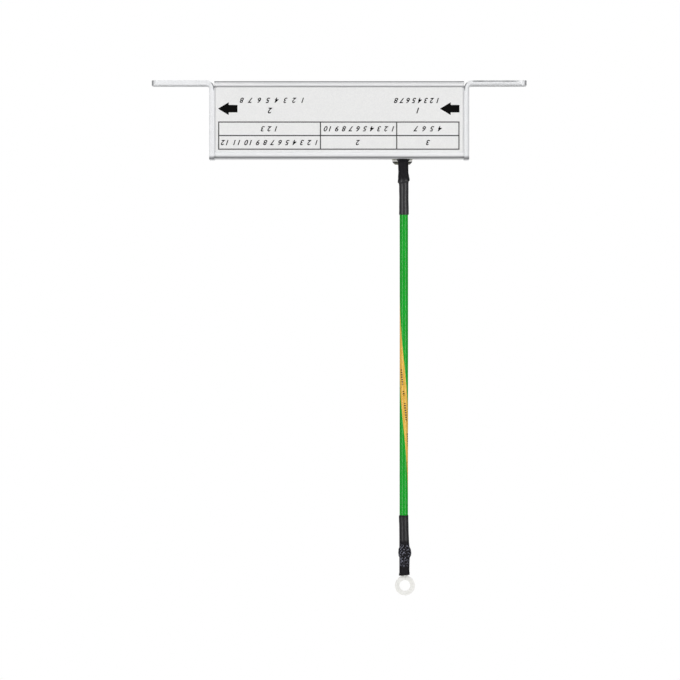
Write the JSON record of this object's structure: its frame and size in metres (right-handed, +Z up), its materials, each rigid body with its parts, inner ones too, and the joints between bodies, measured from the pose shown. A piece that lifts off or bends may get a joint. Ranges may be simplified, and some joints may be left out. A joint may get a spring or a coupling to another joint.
{
  "type": "ethernet surge protector",
  "caption": "Slim aluminium box with a network socket at each end, two mounting ears and a hanging green and yellow earth lead with a ring terminal.",
  "frame": {"origin": "midway between the two ear slots, on the flat upper faces of the ears", "axes": "+Z up out of the ears' mounting faces, +X from the OUT socket to the IN socket along the box, -Y out of the labelled face"},
  "size_m": [0.15, 0.029, 0.2062],
  "materials": {
    "box_aluminium": "satin anodised extrusion",
    "plate_aluminium": "satin anodised sheet, finely speckled",
    "label_film": "satin printed film",
    "screw_steel": "nickel-plated",
    "board_laminate": "solder-masked laminate",
    "shell_metal": "tin-plated folded sheet",
    "jack_plastic": "moulded black",
    "contact_gold": "gold-plated spring wire",
    "tube_ceramic": "fired alumina",
    "tinned_metal": "tinned",
    "black_moulding": "moulded epoxy",
    "resistor_body": "glazed thick film",
    "strap_metal": "tinned brass strip",
    "zinc_steel": "yellow zinc passivated",
    "tinned_copper": "tinned, bright",
    "wire_insulation": "smooth, green with a yellow stripe",
    "bare_copper": "stranded copper",
    "sleeve_black": "shrunk sleeve, matte"
  },
  "bodies": {
    "root": {"housing": "box_aluminium", "front_label": "label_film", "end_plate_in": "plate_aluminium", "end_plate_out": "plate_aluminium", "end_screws_in": "screw_steel", "end_screws_out": "screw_steel", "circuit_board": "board_laminate", "jack_shell_in": "shell_metal", "jack_shell_out": "shell_metal", "jack_insert_in": "jack_plastic", "jack_insert_out": "jack_plastic", "jack_contacts_in": "contact_gold", "jack_contacts_out": "contact_gold", "gas_tube_ceramics": "tube_ceramic", "gas_tube_electrodes": "tinned_metal", "surge_diodes": "black_moulding", "diode_terminals": "tinned_metal", "line_resistors": "resistor_body", "earth_strap": "strap_metal", "ground_screw": "zinc_steel", "lock_washer": "zinc_steel", "spring_washer": "zinc_steel", "earth_nut": "zinc_steel", "ground_lug": "tinned_copper", "ring_terminal": "tinned_copper", "ground_wire": "wire_insulation", "wire_core": "bare_copper", "upper_sleeve": "sleeve_black", "lower_sleeve": "sleeve_black"}
  },
  "joints": []
}
